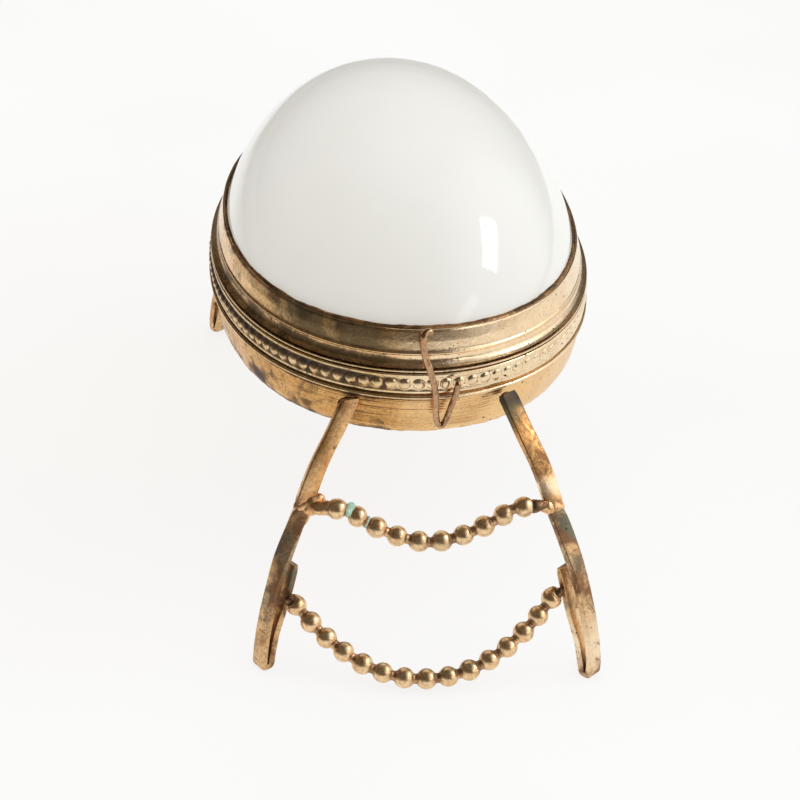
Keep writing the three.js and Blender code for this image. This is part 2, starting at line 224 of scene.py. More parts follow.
def ring_solid(name, section, body, material, shape, grime_and_shade, around=480, sharp=40.0):
    """A ring-shaped solid lofted round the egg from (offset, level) pairs. shape(offset, level,
    run, xyz) returns new offset and level arrays. grime(offset, level, xyz) gives two arrays,
    each 0 to 1: black darkening and grey-green tarnishing, both real marks mixed with painted shade."""
    angle = even_outline(around, 1.0)
    base, normal = outline(angle), outline_normal(angle)
    section = np.asarray(section, float)
    offset = np.repeat(section[:, :1], around, 1)
    level = np.repeat(section[:, 1:], around, 1)
    run = np.repeat(np.arange(around)[None] / around, len(section), 0)

    def place():
        flat = base[None] + normal[None] * offset[..., None]
        return np.concatenate([flat, (PARTING + level)[..., None]], -1)

    offset, level = shape(offset, level, run, place())
    xyz = place()
    verts = xyz.reshape(-1, 3)
    darkening, greening = (np.clip(v, 0, 1).reshape(-1) for v in grime_and_shade(offset, level, xyz))
    # Worn parts and the painted light of the right side are made paler and cleaner.
    rubbed_and_highlit = np.clip(rubbed_and_lit_side(verts) + 0.14 * mid_waves(verts + 21.0), 0, 1)
    darkening, greening = darkening * (1 - 0.7 * rubbed_and_highlit), greening * (1 - 0.7 * rubbed_and_highlit)
    faces = outward(verts, grid_faces(len(section), around, wrap_rows=True))
    return make_object(name, verts, faces, body, material, sharp,
                       {"grime_and_shade": darkening, "tarnish_and_shade": greening, "polish_and_highlight": rubbed_and_highlit})


def dirty_shaded_left(xyz):
    """1 on the front left, painted dirtier and in painted shade, easing to 0 on the right."""
    return np.clip((5.0 - xyz[..., 0]) / 22.0, 0, 1)


def rubbed_and_lit_side(xyz):
    """Where the brass is painted brighter, partly as wear and partly as painted light: the right
    side, and the left towards the back.
    """
    right = 0.8 * np.clip((xyz[..., 0] + 8.0) / 8.0, 0, 1)
    right += 0.2 * np.clip((xyz[..., 0] - 21.0) / 8.0, 0, 1)
    left_back = np.clip((-xyz[..., 0] - 24.0) / 8.0, 0, 1) * np.clip(1 + xyz[..., 1] / 9, 0, 1)
    return right + 0.85 * left_back


def front_left(xyz):
    """1 over the front-left quarter, where the brass is painted darkest: tarnishing with painted
    shade.
    """
    across = np.clip((-1.5 - xyz[..., 0]) / 8.0, 0, 1)
    across *= 0.3 + 0.7 * np.clip((xyz[..., 0] + 25.0) / 6.0, 0, 1)
    return across * np.clip((-xyz[..., 1] - 6.0) / 16.0, 0, 1)


# ---- materials ----
def feed(tree, socket, value):
    """Links a socket into an input, or sets the input to a number or a colour."""
    if isinstance(value, bpy.types.NodeSocket):
        tree.links.new(value, socket)
    elif socket.type == "RGBA" and len(value) == 3:
        socket.default_value = (*value, 1.0)
    else:
        socket.default_value = value


class Nodes:
    """Short ways to write a node tree."""

    def __init__(self, tree, coords):
        self.tree = tree
        self.coords = tree.nodes.new("ShaderNodeTexCoord").outputs[coords]

    def node(self, kind, **inputs):
        node = self.tree.nodes.new(kind)
        for key, value in inputs.items():
            feed(self.tree, node.inputs[key], value)
        return node

    def noise(self, scale, detail=3.0, rough=0.55, distort=0.0, stretch=None):
        vector = self.coords
        if stretch:
            mapping = self.node("ShaderNodeMapping", Vector=self.coords)
            mapping.inputs["Scale"].default_value = stretch
            vector = mapping.outputs[0]
        return self.node("ShaderNodeTexNoise", Vector=vector, Scale=scale, Detail=detail,
                         Roughness=rough, Distortion=distort).outputs["Fac"]

    def spots(self, scale, size):
        cells = self.node("ShaderNodeTexVoronoi", Vector=self.coords, Scale=scale)
        return self.ramp(cells.outputs["Distance"], [(0.0, 1.0), (size * 0.6, 1.0), (size, 0.0)])

    def attribute(self, name):
        node = self.tree.nodes.new("ShaderNodeAttribute")
        node.attribute_name = name
        return node.outputs["Fac"]

    def ramp(self, value, stops):
        node = self.node("ShaderNodeValToRGB", Fac=value)
        elements = node.color_ramp.elements
        while len(elements) < len(stops):
            elements.new(0.5)
        for element, (at, colour) in zip(elements, stops):
            element.position = at
            element.color = (colour,) * 3 + (1.0,) if np.isscalar(colour) else (*colour, 1.0)
        return node.outputs["Color"]

    def maths(self, operation, first, second, kind="ShaderNodeMath"):
        node = self.tree.nodes.new(kind)
        node.operation = operation
        feed(self.tree, node.inputs[0], first)
        feed(self.tree, node.inputs[1], second)
        return node.outputs["Value"]

    def times(self, first, second):
        return self.maths("MULTIPLY", first, second)

    def plus(self, first, second):
        return self.maths("ADD", first, second)

    def ease(self, value, low, high):
        """0 up to one value, rising to 1 at another."""
        return self.ramp(value, [(low, 0.0), (high, 1.0)])

    def mix(self, factor, first, second):
        node = self.tree.nodes.new("ShaderNodeMix")
        node.data_type = "RGBA"
        for index, value in ((0, factor), (6, first), (7, second)):
            feed(self.tree, node.inputs[index], value)
        return node.outputs[2]

    def mirror_ray(self):
        """1 for what a surface mirrors straight to the eye, 0 for the light that falls on things."""
        path = self.tree.nodes.new("ShaderNodeLightPath").outputs
        first = self.maths("LESS_THAN", path["Diffuse Depth"], 0.5)
        return self.times(path["Is Glossy Ray"], first)


class Shader(Nodes):
    """A material with a Principled shader to link things to."""

    def __init__(self, name):
        self.material = bpy.data.materials.new(name)
        self.material.use_nodes = True
        super().__init__(self.material.node_tree, "Object")
        self.bsdf = self.tree.nodes["Principled BSDF"]

    def bump(self, height, strength, distance):
        node = self.node("ShaderNodeBump", Height=height, Strength=strength, Distance=distance)
        return node.outputs["Normal"]

    def link(self, socket, key):
        self.tree.links.new(socket, self.bsdf.inputs[key])


def brass(name, light, deep, stain, patina, stain_amount, patina_amount, dark_spots=0.0,
          rough=(0.2, 0.42), turned=0.0, flush=(0.46, 0.19, 0.07), pale=(1.0, 0.82, 0.58)):
    """Worn gilt brass. stain_amount and patina_amount are the share of the surface covered,
    flush is the coppery red that shows where the gilding is thin, and pale is the tone of the
    parts worn bright, of the painted highlights and of the painted light on the right side."""
    s = Shader(name)
    grime_and_shade, tarnish_and_shade, polish_and_highlight = (s.attribute(key) for key in ("grime_and_shade", "tarnish_and_shade", "polish_and_highlight"))
    tone = s.ramp(s.noise(260.0, 5.0, 0.65, 0.6), [(0.34, deep), (0.62, light)])
    streak = s.ease(s.noise(330.0, 5.0, 0.62, 0.0, (0.4, 0.4, 3.2)), 0.45, 0.68)
    tone = s.mix(s.times(streak, 0.4), tone, deep)
    red = s.ease(s.noise(620.0, 5.0, 0.66, 0.8), 0.53, 0.7)
    tone = s.mix(s.times(red, 0.45), tone, flush)
    speckle = s.ease(s.noise(1900.0, 3.0, 0.7), 0.46, 0.66)
    tone = s.mix(s.times(speckle, 0.4), tone, stain)
    # Worn parts, painted highlights and the painted light of the right side go towards the pale tone.
    tone = s.mix(s.times(polish_and_highlight, 0.75), tone, pale)
    cover = s.noise(260.0, 8.0, 0.74, 0.9)
    cover = s.maths("SUBTRACT", cover, s.times(polish_and_highlight, 0.12))
    cover = s.plus(cover, s.times(grime_and_shade, 0.45))
    edge = 0.78 - stain_amount * 0.45
    stained = s.ease(cover, edge - 0.08, min(0.99, edge + 0.1))
    colour = s.mix(s.times(stained, 0.85), tone, stain)
    moss = s.noise(230.0, 8.0, 0.72, 0.8)
    moss = s.maths("SUBTRACT", moss, s.times(polish_and_highlight, 0.12))
    moss = s.plus(moss, s.times(grime_and_shade, 0.12))
    moss = s.plus(moss, s.times(tarnish_and_shade, 0.4))
    edge = 0.8 - patina_amount * 0.45
    green = s.ease(moss, edge - 0.07, min(0.99, edge + 0.12))
    colour = s.mix(s.times(green, 0.75), colour, patina)
    # Black where the grime attribute is high: dirtiness, with painted shade in creases and on the
    # left.
    black = s.ease(grime_and_shade, 0.55, 1.0)
    if dark_spots:
        black = s.maths("MAXIMUM", black, s.spots(420.0, dark_spots))
        black = s.maths("MAXIMUM", black, s.spots(1100.0, dark_spots * 1.3))
    colour = s.mix(s.times(black, 0.88), colour, (0.022, 0.016, 0.011))
    s.link(colour, "Base Color")
    dull = s.maths("MAXIMUM", stained, s.maths("MAXIMUM", green, black))
    smear = s.times(s.noise(520.0, 3.0), 0.12)
    gloss = s.plus(s.times(dull, rough[1] - rough[0]), rough[0] - 0.06)
    s.link(s.plus(gloss, smear), "Roughness")
    s.link(s.maths("SUBTRACT", 1.0, s.times(black, 0.6)), "Metallic")
    height = s.times(s.noise(1500.0, 4.0, 0.6), 0.5)
    height = s.plus(height, s.times(s.noise(420.0, 3.0), 0.8))
    height = s.maths("SUBTRACT", height, s.times(black, 0.5))
    if turned:
        lines = s.noise(60.0, 2.0, 0.5, 0.0, (0.5, 0.5, 60.0))
        height = s.plus(height, s.times(lines, turned))
    s.link(s.bump(height, 0.5, 0.00012), "Normal")
    return s.material


BROWN, GREEN = (0.16, 0.075, 0.032), (0.12, 0.12, 0.07)

lid_brass = brass("lid_brass", (0.97, 0.66, 0.33), (0.78, 0.46, 0.19), BROWN,
                  (0.105, 0.085, 0.048), 0.22, 0.14, dark_spots=0.1, rough=(0.19, 0.4))
band_brass = brass("band_brass", (0.92, 0.70, 0.40), (0.72, 0.48, 0.22), BROWN, GREEN,
                   0.25, 0.1, dark_spots=0.1)
base_brass = brass("base_brass", (0.82, 0.50, 0.18), (0.62, 0.31, 0.09), BROWN,
                   (0.11, 0.115, 0.08), 0.3, 0.14, dark_spots=0.1, rough=(0.26, 0.5),
                   turned=1.2, pale=(0.96, 0.66, 0.34))
bar_brass = brass("bar_brass", (0.97, 0.60, 0.25), (0.70, 0.33, 0.11), (0.19, 0.075, 0.028),
                  GREEN, 0.36, 0.16, dark_spots=0.06, rough=(0.3, 0.52),
                  flush=(0.56, 0.18, 0.05))
scroll_brass = brass("scroll_brass", (0.93, 0.65, 0.35), (0.62, 0.37, 0.17),
                     (0.20, 0.085, 0.04), (0.18, 0.20, 0.15), 0.47, 0.34, dark_spots=0.1,
                     rough=(0.3, 0.56), flush=(0.60, 0.23, 0.07))
bead_brass = brass("bead_brass", (0.98, 0.74, 0.44), (0.82, 0.53, 0.28), (0.23, 0.105, 0.05),
                   (0.22, 0.23, 0.16), 0.36, 0.16, dark_spots=0.05, rough=(0.28, 0.46))
hinge_brass = brass("hinge_brass", (0.74, 0.50, 0.27), (0.5, 0.32, 0.16), BROWN, GREEN, 0.4, 0.2)
copper_wire = brass("copper_wire", (0.68, 0.43, 0.24), (0.40, 0.22, 0.12), (0.12, 0.055, 0.03),
                    (0.15, 0.13, 0.08), 0.34, 0.2, rough=(0.12, 0.3))
dark_solder = brass("dark_solder", (0.38, 0.22, 0.11), (0.22, 0.12, 0.06), (0.06, 0.035, 0.02),
                    (0.12, 0.13, 0.09), 0.5, 0.35, dark_spots=0.2, rough=(0.28, 0.5))
gold_solder = brass("gold_solder", (0.98, 0.66, 0.36), (0.82, 0.46, 0.21), (0.26, 0.12, 0.05),
                    (0.20, 0.20, 0.10), 0.28, 0.2, dark_spots=0.1, rough=(0.3, 0.5))
cement = brass("cement", (0.58, 0.35, 0.17), (0.42, 0.21, 0.08), (0.13, 0.07, 0.035),
               (0.2, 0.17, 0.11), 0.4, 0.2, dark_spots=0.1, rough=(0.5, 0.7))


def verdigris_material():
    s = Shader("verdigris")
    tone = s.ramp(s.noise(900.0, 4.0, 0.65), [(0.32, (0.26, 0.42, 0.30)),
                                              (0.58, (0.50, 0.74, 0.60)), (0.75, (0.68, 0.84, 0.74))])
    s.link(tone, "Base Color")
    s.bsdf.inputs["Roughness"].default_value = 0.75
    s.link(s.bump(s.noise(2200.0, 4.0, 0.65), 0.8, 0.0002), "Normal")
    return s.material


def porcelain_material():
    s = Shader("porcelain")
    tone = s.ramp(s.noise(38.0, 3.0), [(0.3, (0.81, 0.805, 0.765)), (0.7, (0.84, 0.84, 0.81))])
    speck = s.spots(26.0, 0.02)
    s.link(s.mix(s.times(speck, 0.55), tone, (0.35, 0.27, 0.19)), "Base Color")
    s.link(s.ramp(s.noise(120.0, 2.0), [(0.3, 0.05), (0.7, 0.09)]), "Roughness")
    height = s.plus(s.noise(55.0, 2.0), s.times(s.noise(420.0, 2.0), 0.06))
    s.link(s.bump(height, 0.35, 0.0006), "Normal")
    s.bsdf.inputs["IOR"].default_value = 1.42
    return s.material


verdigris = verdigris_material()
porcelain = porcelain_material()

# ---- porcelain ----
SHELL_WALL = 2.2
LID_SHELL_BOTTOM = PARTING + 0.7
BOWL_SCALE = 0.955
BOWL_OUTSIDE, BOWL_INSIDE = (-11.65, 12.0), (-10.25, 11.2)


def rings_to_solid(name, rings, body, material, sharp=40.0, attributes=None):
    """Joins rings of points; a first or last ring of one point is a tip."""
    verts, starts = [], []
    for ring in rings:
        starts.append(len(verts))
        verts.extend(ring)
    faces = []
    for a in range(len(rings) - 1):
        first, second = len(rings[a]), len(rings[a + 1])
        count = max(first, second)
        for i in range(count):
            j = (i + 1) % count
            face = (starts[a] + i % first, starts[a] + j % first,
                    starts[a + 1] + j % second, starts[a + 1] + i % second)
            faces.append(list(dict.fromkeys(face)))
    return make_object(name, verts, outward(verts, faces), body, material, sharp, attributes)


def ring_round(centre, radius, side, other, sides):
    """Points on a circle across two directions, or the one point where the radius is nothing."""
    turn = (np.arange(sides if radius else 1) * 2 * np.pi / sides)[:, None]
    return list(centre + radius * (np.cos(turn) * side + np.sin(turn) * other))


def level_ring(points, height):
    return [(x, y, height) for x, y in points]


def make_lid_shell():
    angle = even_outline(160, 0.0)

    def dome(inset):
        top = EGG_AXIS + EGG_RISE * float(cross_section_radius(np.array(0.0), inset))
        start = math.asin((LID_SHELL_BOTTOM - EGG_AXIS) / (top - EGG_AXIS))
        lifts = start + (math.pi / 2 - start) * np.linspace(0, 1, 42)[:-1]
        rings = []
        for lift in lifts:
            height = EGG_AXIS + (top - EGG_AXIS) * math.sin(lift)
            rings.append(level_ring(section_point(angle, height, inset), height))
        return rings + [[(0.0, 0.0, top)]]

    outer, inner = dome(0.0), dome(SHELL_WALL)
    lip = [level_ring(section_point(angle, LID_SHELL_BOTTOM, inset), LID_SHELL_BOTTOM - 0.12)
           for inset in (SHELL_WALL * 0.25, SHELL_WALL * 0.75)]
    obj = rings_to_solid("glazed_lid", outer[::-1] + lip + inner, "lid", porcelain)
    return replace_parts(obj, "lid_shell")


def make_base_shell():
    angle = even_outline(160, 0.0)
    outline_xy, normal = outline(angle), outline_normal(angle)

    def bowl(scale, top_level, depth):
        rings = []
        for turn in np.linspace(0, math.pi / 2, 22)[:-1]:
            ratio = math.cos(turn)
            level = top_level - depth * (1 - ratio * ratio)
            rings.append(level_ring(outline_xy * scale * ratio, PARTING + level))
        return rings + [[(0.0, 0.0, PARTING + top_level - depth)]]

    outer = bowl(BOWL_SCALE, *BOWL_OUTSIDE)
    inner = bowl(BOWL_SCALE - SHELL_WALL / EGG_HALF_WIDTH, *BOWL_INSIDE)
    rim = [level_ring(outline_xy + normal * offset, PARTING + level) for offset, level in (
        (-0.5, -1.0), (-0.62, -0.66), (-1.0, -0.55), (-2.2, -0.55), (-2.58, -0.66),
        (-2.7, -1.0), (-2.75, -4.0), (-3.0, -8.0))]
    obj = rings_to_solid("glazed_base", outer[::-1] + rim + inner, "base", porcelain, 60.0)
    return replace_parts(obj, "base_shell")


make_lid_shell()
make_base_shell()

# ---- collars ----
def gentle(amount_slow, amount_mid):
    def shape(offset, level, run, xyz):
        move = slow_waves(xyz) * amount_slow + mid_waves(xyz) * amount_mid
        return offset + move, level
    return shape


def near(values, centre, width):
    return np.exp(-((values - centre) / width) ** 2)


def plain_grime_and_shade(amount):
    """Dirt and painted shade from a function of offset and level, with a little tarnishing on the
    left that is partly painted shade.
    """
    return lambda offset, level, xyz: (amount(offset, level), 0.15 * dirty_shaded_left(xyz))


def make_lid_collar():
    section = fill_section(round_section([
        (-0.6, 6.85), (-0.15, 5.0), (0.12, 3.25), (0.34, 3.05), (0.38, 2.8), (0.24, 2.6),
        (0.26, 1.9), (0.46, 1.35), (0.88, 1.0), (1.4, 0.85), (0.3, 0.8), (0.02, 2.2),
        (-0.4, 4.6), (-1.02, 6.85)], 0.16), 0.45)

    def grime_and_shade(offset, level, xyz):
        # Dark lines at the top edge, under the ridge and at the foot: painted shade in these creases,
        # made uneven.
        top_edge = near(level, 6.9, 0.35) * 0.75
        under_ridge = near(level, 2.2, 0.35) * 0.5
        foot = near(level, 0.95, 0.2) * 0.4
        blotch = np.clip(mid_waves(xyz) * 0.5, 0, 1) * near(level, 5.9, 0.9)
        # The left is painted darker: dirtiness with painted shade.
        blotch += dirty_shaded_left(xyz) * (0.12 + 0.16 * mid_waves(xyz + 9.0))
        cove = np.clip((2.5 - level) / 0.4, 0, 1) * np.clip((level - 0.95) / 0.3, 0, 1)
        # The front-left face is painted greener and darker: tarnishing with painted shade.
        face = np.clip((level - 2.9) / 0.5, 0, 1) * front_left(xyz)
        greening = cove * (0.5 + 0.35 * mid_waves(xyz) + 0.5 * front_left(xyz))
        greening += face * (0.95 + 0.16 * mid_waves(xyz + 2.0))
        return top_edge * (0.6 + 0.6 * fast_waves(xyz)) + under_ridge + foot + blotch, greening

    obj = ring_solid("lid_mount", section, "lid", lid_brass, gentle(0.05, 0.025), grime_and_shade)
    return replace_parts(obj, "lid_collar")


def make_cement():
    """The bed of old cement that shows as a thin line between the glaze and the lid's collar."""
    angle = even_outline(480, 0.0)
    edge, normal = outline(angle), outline_normal(angle)

    def on_glaze(level):
        return section_point(angle, PARTING + level) + normal * 0.03

    def in_collar(level):
        return edge + normal * (-0.46 - 0.275 * (level - 4.6))

    rings = []
    for xy, level in ((on_glaze(5.6), 5.6), (in_collar(5.6), 5.6), (in_collar(6.3), 6.3),
                      (in_collar(6.8), 6.86), ((in_collar(6.8) + on_glaze(7.0)) / 2, 6.99),
                      (on_glaze(7.02), 7.02), (on_glaze(6.4) - normal * 0.05, 6.4)):
        rings.append(level_ring(xy, PARTING + level))
    verts = np.array(rings).reshape(-1, 3)
    uneven = np.repeat([0, 0, 0, 1, 1, 1, 0], len(angle))
    verts[:, 2] += uneven * (0.1 * mid_waves(verts) + 0.07 * fast_waves(verts))
    faces = outward(verts, grid_faces(len(rings), len(angle), wrap_rows=True))
    darkening = np.clip(0.28 + 0.4 * mid_waves(verts + 5.0) + 0.2 * fast_waves(verts), 0, 0.95)
    make_object("lid_cement", verts, faces, "lid", cement, 60.0, {"grime_and_shade": darkening})


def make_lid_rim():
    section = round_section([(0.3, 0.5), (1.6, 0.5), (1.6, 0.15), (0.3, 0.15)], 0.14)
    # The lid edge is painted darker along its bottom, at the parting line: painted shade in the gap.
    obj = ring_solid("lid_edge", section, "lid", band_brass, gentle(0.03, 0.01),
                     plain_grime_and_shade(lambda offset, level: near(level, 0.15, 0.08) * 0.5))
    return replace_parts(obj, "lid_rim")


def make_gallery_band():
    beads, per_bead = 120, 14
    around = beads * per_bead
    outer = [(1.40, -0.17), (1.52, -0.2), (1.6, -0.3), (1.62, -0.45), (1.62, -0.62)]
    field_levels = np.linspace(-0.74, -3.36, 24)
    lower = [(1.62, -3.5), (1.62, -3.66), (1.56, -3.8), (1.45, -3.84)]
    inner = [(0.97, -3.84), (0.95, -3.8), (0.95, -0.2), (0.97, -0.17)]
    section = np.array(outer + [(1.5, level) for level in field_levels] + lower + inner)
    bead_level, bead_radius, bead_height, pitch = -2.05, 1.0, 0.52, 2.35

    def in_field(offset, level):
        return (level < -0.7) & (level > -3.4) & (offset > 1.2)

    def shape(offset, level, run, xyz):
        across = (run * beads) % 1.0 - 0.5
        wear = 0.68 + 0.32 * dirty_shaded_left(xyz - 14.0) + 0.14 * mid_waves(xyz)
        distance = np.hypot(across * pitch, level - bead_level)
        dome = np.sqrt(np.clip(1 - (distance / bead_radius) ** 2, 0, 1)) * bead_height
        ground = 1.62 - 0.16 * np.clip(1 - ((level - bead_level) / 1.3) ** 4, 0, 1)
        offset = np.where(in_field(offset, level), ground + dome * wear, offset)
        return offset + slow_waves(xyz) * 0.03 + mid_waves(xyz) * 0.02, level

    def grime_and_shade(offset, level, xyz):
        low = np.clip((1.62 - offset) / 0.2, 0, 1)
        field = in_field(offset, level)
        left = dirty_shaded_left(xyz)
        # On the left the beads' upper halves are painted dark: painted shade.
        painted_shade_tops = left * field * np.clip((level + 2.3) / 0.8, 0, 1)
        painted_shade_tops *= 0.72 + 0.4 * mid_waves(xyz * 1.6)
        darkening = low * field * (0.85 + 0.5 * fast_waves(xyz)) + painted_shade_tops
        # The left is also painted darker and greener: dirtiness and tarnishing with painted shade.
        return darkening + 0.16 * left, 0.3 * left * field

    obj = ring_solid("beaded_band", section, "base", band_brass, shape, grime_and_shade, around, 60.0)
    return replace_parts(obj, "gallery_band")


def make_rim_wire():
    turn = np.linspace(0, 2 * np.pi, 15)[:-1]
    section = np.stack([1.6 + 0.34 * np.cos(turn), -4.48 + 0.31 * np.sin(turn)], -1)
    # The bead is painted darker on its inner side and underneath, where it meets the band and collar:
    # painted shade.
    grime_and_shade = plain_grime_and_shade(
        lambda offset, level: (1.5 - offset) * 1.5 + near(level, -4.8, 0.12) * 0.5)
    obj = ring_solid("rim_bead", section, "base", band_brass, gentle(0.03, 0.02), grime_and_shade)
    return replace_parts(obj, "rim_wire")


def make_base_collar():
    outer_levels = np.linspace(-5.25, -11.6, 84)
    knots = [(-5.1, 1.25), (-5.6, 1.2), (-8.0, 0.9), (-10.6, 0.35), (-11.85, -0.3)]
    knot_levels, knot_offsets = zip(*knots[::-1])
    outer = list(zip(np.interp(outer_levels, knot_levels, knot_offsets), outer_levels))
    section = np.array([(0.1, -0.17), (0.6, -0.17), (0.65, -0.25), (0.65, -5.05), (0.7, -5.12),
                        (1.18, -5.12)] + outer + [(-0.3, -11.8), (-0.4, -11.9), (-0.8, -11.9),
                        (-0.9, -11.85), (-0.5, -10.9), (0.0, -9.6), (0.05, -5.0), (0.05, -0.3)])

    def shape(offset, level, run, xyz):
        outside = (offset > -0.35) & (level < -5.2) & (xyz[..., 2] < PARTING - 5.2)
        lines = np.sin(level * 2 * np.pi / 0.52 + slow_waves(xyz) * 1.3)
        lines += 0.6 * np.sin(level * 2 * np.pi / 0.31 + 1.7)
        fade = np.clip((level + 9.9) / 1.2, 0, 1) * np.clip(0.55 + 0.8 * slow_waves(xyz), 0.1, 1)
        dents = np.clip(mid_waves(xyz) - 0.35, 0, 1) * near(level, -11.3, 0.9)
        lower = np.clip((-level - 11.2) / 0.6, 0, 1)
        level = level + lower * (0.16 * mid_waves(xyz) + 0.1 * fast_waves(xyz))
        skin = outside * (lines * 0.022 * fade - dents * 0.18)
        return offset + skin + slow_waves(xyz) * 0.06 + mid_waves(xyz) * 0.03, level

    def grime_and_shade(offset, level, xyz):
        lip = np.clip((-level - 10.9) / 0.95, 0, 1) * (0.65 + 0.55 * mid_waves(xyz))
        # A dark band just under the rim bead: painted shade beneath it.
        top = near(level, -5.15, 0.25) * 0.75
        blot = np.clip(mid_waves(xyz + 40.0) * 1.6 - 0.6, 0, 1) * near(level, -9.8, 1.5)
        lines = 0.0
        for number, at in enumerate((-5.9, -6.35, -6.9, -7.3, -8.0, -8.5)):
            part = np.clip(mid_waves(xyz * (0.5, 0.5, 0.0) + number * 9.0) * 1.1 + 0.35, 0, 0.75)
            lines = lines + near(level, at, 0.075) * part
        lines *= np.clip((22.0 - np.abs(xyz[..., 0])) / 10.0, 0.25, 1)
        # The left is speckled darker: dirtiness with painted shade.
        speckled = dirty_shaded_left(xyz) * np.clip(0.15 + 0.5 * fast_waves(xyz * 0.6), 0, 0.6)
        return lip + top + blot + lines + speckled, 0.2 * np.clip(mid_waves(xyz - 30.0), 0, 1)

    obj = ring_solid("turned_collar", section, "base", base_brass, shape, grime_and_shade, 560, 70.0)
    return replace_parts(obj, "base_collar")


def make_inner_lip():
    section = fill_section(
        round_section([(-4.1, 2.1), (-3.5, 2.1), (-3.5, -2.2), (-4.1, -2.2)], 0.18), 0.6)
    obj = ring_solid("inner_rim", section, "base", band_brass, gentle(0.03, 0.02),
                     plain_grime_and_shade(lambda offset, level: near(level, -2.2, 0.6) * 0.6), 360)
    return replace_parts(obj, "inner_lip")


make_lid_collar()
make_cement()
make_lid_rim()
make_gallery_band()
make_rim_wire()
make_base_collar()
make_inner_lip()

# ---- hinge ----
HINGE_Y = 54.0
KNUCKLE_RADIUS, PIN_BORE = 1.5, 0.75
LEAF_EDGE, BORE_SINK, END_SHRINK = 0.12, 0.02, 0.965
LID_KNUCKLE_HALF = 2.5
BASE_KNUCKLE_LENGTH = 3.4
KNUCKLE_START = 2.8


def hinge_leaf(name, node, leaf_points, arc_start, arc_end, x_low, x_high, body):
    """A knuckle with its leaf, its outline drawn across the pin and its ends eased."""
    turn = np.radians(np.linspace(arc_start, arc_end, 40))
    barrel = [(KNUCKLE_RADIUS * math.cos(a), KNUCKLE_RADIUS * math.sin(a)) for a in turn]
    outer = round_section(fill_section(np.array(barrel + leaf_points), 0.5), LEAF_EDGE, 2)
    around = len(outer)
    bore_turn = np.unwrap(np.arctan2(outer[:, 1], outer[:, 0]))
    even = np.linspace(0, 2 * np.pi * np.sign(bore_turn[-1] - bore_turn[0]), around + 1)[:-1]
    bore = np.stack([np.cos(even + bore_turn[0]), np.sin(even + bore_turn[0])], -1) * PIN_BORE
    end_face = outer * END_SHRINK
    rings = []
    for ring, x in ((bore, x_low + BORE_SINK), (end_face, x_low), (outer, x_low + LEAF_EDGE),
                    (outer, (x_low + x_high) / 2), (outer, x_high - LEAF_EDGE),
                    (end_face, x_high), (bore, x_high - BORE_SINK)):
        rings.append([(x, HINGE_Y - inward, PARTING + up) for inward, up in ring])
    verts = np.array(rings).reshape(-1, 3)
    verts += (mid_waves(verts) * 0.015)[:, None]
    faces = outward(verts, grid_faces(len(rings), around, wrap_rows=True))
    darkening = np.repeat([0.6, 0.2, 0.05, 0.0, 0.05, 0.2, 0.6], around)
    obj = make_object(name, verts, faces, body, hinge_brass, 40.0, {"grime_and_shade": darkening})
    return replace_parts(obj, node)


LID_LEAF = [(1.0, 1.75), (2.1, 3.0), (2.75, 4.2), (3.35, 6.6), (4.0, 6.6), (3.4, 4.2),
            (3.0, 3.0), (2.8, 2.2), (1.9, 1.25)]
BASE_LEAF = [(1.6, -0.95), (1.6, -5.2), (2.5, -6.0), (3.3, -9.0), (2.6, -9.0), (1.75, -6.0),
             (0.9, -5.0)]
hinge_leaf("lid_leaf", "lid_hinge_leaf", LID_LEAF, 15, -270, -LID_KNUCKLE_HALF,
           LID_KNUCKLE_HALF, "lid")
hinge_leaf("base_leaf_left", "base_hinge_leaf_left", BASE_LEAF, -60, -390,
           -KNUCKLE_START - BASE_KNUCKLE_LENGTH, -KNUCKLE_START, "base")
hinge_leaf("base_leaf_right", "base_hinge_leaf_right", BASE_LEAF, -60, -390,
           KNUCKLE_START, KNUCKLE_START + BASE_KNUCKLE_LENGTH, "base")


def make_hinge_pin():
    half = KNUCKLE_START + BASE_KNUCKLE_LENGTH + 0.3
    profile = [(0.0, -half - 0.8), (0.6, -half - 0.76), (0.92, -half - 0.6), (1.05, -half - 0.35),
               (1.02, -half - 0.05), (0.95, -half), (0.6, -half)]
    profile += [(r, -x) for r, x in profile[::-1]]
    rings = [ring_round((x, HINGE_Y, PARTING), radius, (0, 1, 0), (0, 0, 1), 28)
             for radius, x in profile]
    obj = rings_to_solid("pivot_pin", rings, "base", hinge_brass)
    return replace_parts(obj, "hinge_pin")


make_hinge_pin()

# ---- legs ----
REAR_LEG = dict(end=1, attach=14.5, yaw=42, reach=1.18, top_yaw=36, knee_yaw=24)
LEGS = {
    "front_right": dict(side=1, end=-1, attach=12.5, yaw=41, reach=1.16, top_yaw=36, knee_yaw=8),
    "front_left": dict(side=-1, end=-1, attach=10.95, yaw=55, reach=0.95, top_yaw=-15, knee_yaw=-10),
    "rear_right": dict(side=1, **REAR_LEG),
    "rear_left": dict(side=-1, **REAR_LEG),
}
ATTACH_OFFSET = 2.6
BAR_STOCK, SCROLL_STOCK, SCROLL_END_STOCK = (3.3, 1.4), (3.0, 1.5), (2.8, 1.25)
SCROLL_TAPER_SHARE, SCROLL_TWIST_SHARE = 0.4, 0.25
SCROLL_FRONT = [(10.3, -22.35), (12.85, -27.0), (15.4, -32.3), (17.5, -38.4), (19.0, -44.2),
                (19.7, -49.3)]
SCROLL_RETURN = [(18.05, -49.4), (16.9, -44.6), (15.1, -40.0), (13.75, -36.0), (12.75, -32.6)]
FOOT_TURN = dict(reach=18.9, level=-49.9, radius=0.8)
BAR_LINE = [(0.15, -5.3), (3.4, -10.3), (7.2, -15.8), (10.15, -21.85)]


